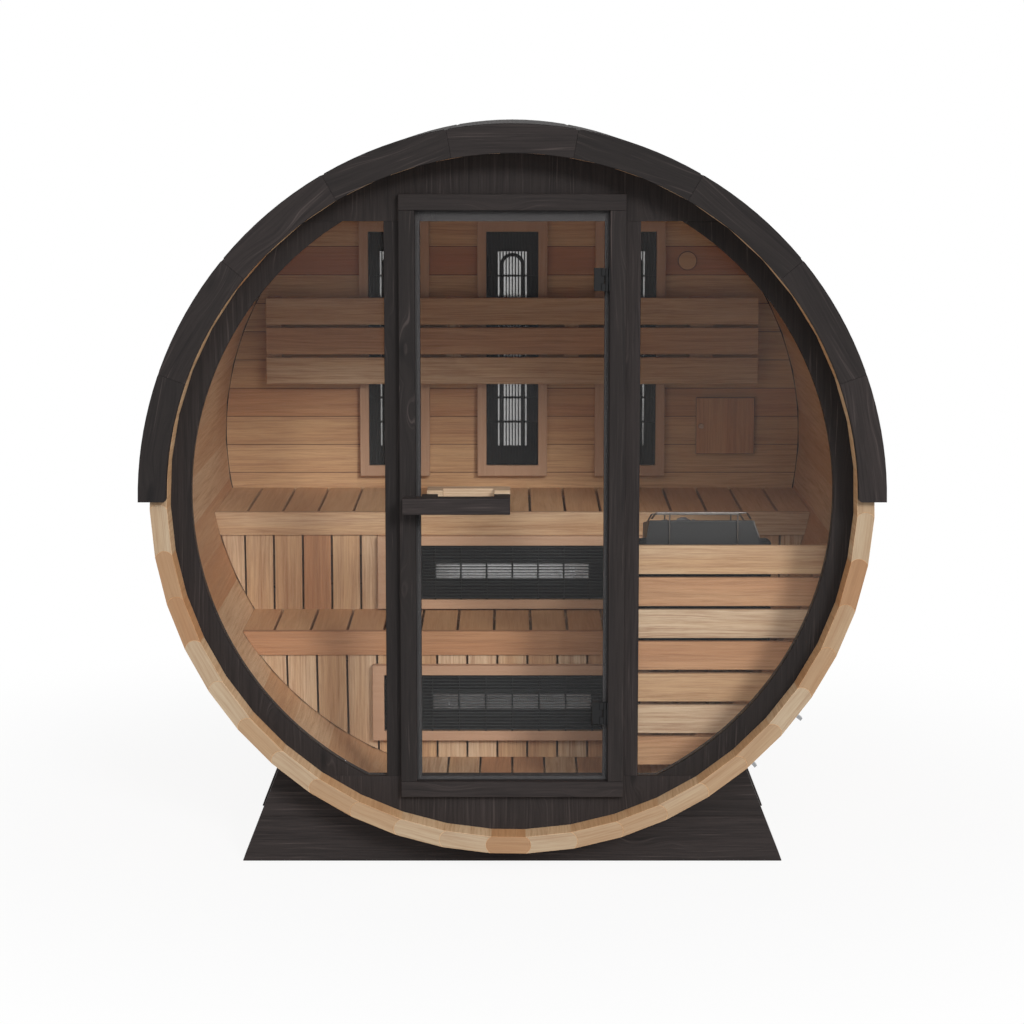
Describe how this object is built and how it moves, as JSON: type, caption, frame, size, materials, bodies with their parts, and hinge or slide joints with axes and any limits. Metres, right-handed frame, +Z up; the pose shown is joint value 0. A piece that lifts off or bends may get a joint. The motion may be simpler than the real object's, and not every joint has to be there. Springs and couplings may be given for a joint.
{
  "type": "barrel sauna",
  "caption": "Barrel sauna of bead-and-cove staves on cradles, with a dark roof cover, a glazed front wall, a hinged glass door, benches, infrared panels and a guarded heater.",
  "frame": {"origin": "on the ground under the middle of the barrel", "axes": "+X to the right seen from the door, +Y from the door to the back wall, +Z up"},
  "size_m": [2.166, 1.86, 2.205],
  "materials": {
    "black_stained_wood": "black-brown stain, matt",
    "stave_wood": "planed natural wood",
    "wall_wood": "planed natural wood",
    "bench_wood": "planed natural wood",
    "tinted_glass": "lightly tinted, clear",
    "infrared_plate": "matt black",
    "black_steel": "matt black",
    "bright_steel": "bright",
    "heater_paint": "dark grey, matt",
    "heater_stone": "rough grey stone"
  },
  "bodies": {
    "cabin": {"back_wall": "wall_wood", "backrest_battens": "bench_wood", "backrest_boards": "bench_wood", "bench_infrared_plates": "infrared_plate", "bench_infrared_trays": "bench_wood", "cradle_foot_boards": "black_stained_wood", "cradle_shoulders": "black_stained_wood", "door_frame_head": "black_stained_wood", "door_frame_left_stile": "black_stained_wood", "door_frame_right_stile": "black_stained_wood", "door_frame_sill": "black_stained_wood", "floor_bearers": "bench_wood", "floor_slats": "bench_wood", "floor_staves": "stave_wood", "front_fascia": "black_stained_wood", "front_wall_header": "black_stained_wood", "front_wall_left_post": "black_stained_wood", "front_wall_left_rim": "black_stained_wood", "front_wall_right_post": "black_stained_wood", "front_wall_right_rim": "black_stained_wood", "front_wall_sill": "black_stained_wood", "heater_brackets": "black_steel", "heater_case": "heater_paint", "heater_guard_boards": "bench_wood", "heater_guard_uprights": "bench_wood", "heater_rail": "bright_steel", "heater_stones": "heater_stone", "hinge_leaves": "black_steel", "hoop_tighteners": "bright_steel", "left_wall_staves": "stave_wood", "left_window": "tinted_glass", "lower_bench_fascia": "bench_wood", "lower_bench_rails": "bench_wood", "lower_bench_skirt": "bench_wood", "lower_bench_slats": "bench_wood", "rear_fascia": "black_stained_wood", "rear_infrared_plates": "infrared_plate", "rear_infrared_trays": "bench_wood", "right_wall_staves": "stave_wood", "right_window": "tinted_glass", "roof_panels": "black_stained_wood", "roof_staves": "stave_wood", "steel_hoops": "bright_steel", "upper_bench_fascia": "bench_wood", "upper_bench_rails": "bench_wood", "upper_bench_skirt": "bench_wood", "upper_bench_slats": "bench_wood", "vent_disc": "bench_wood", "vent_slide": "bench_wood"},
    "door": {"door_glass": "tinted_glass", "hinge_clamps": "black_steel", "outer_handle": "black_stained_wood", "inner_handle": "bench_wood"}
  },
  "joints": [
    {"name": "door_swing", "type": "hinge", "parent": "cabin", "child": "door", "pos_m": [0.2725, -0.832, 1.1155], "axis": [0, 0, 1], "range_deg": [0, 105]}
  ]
}
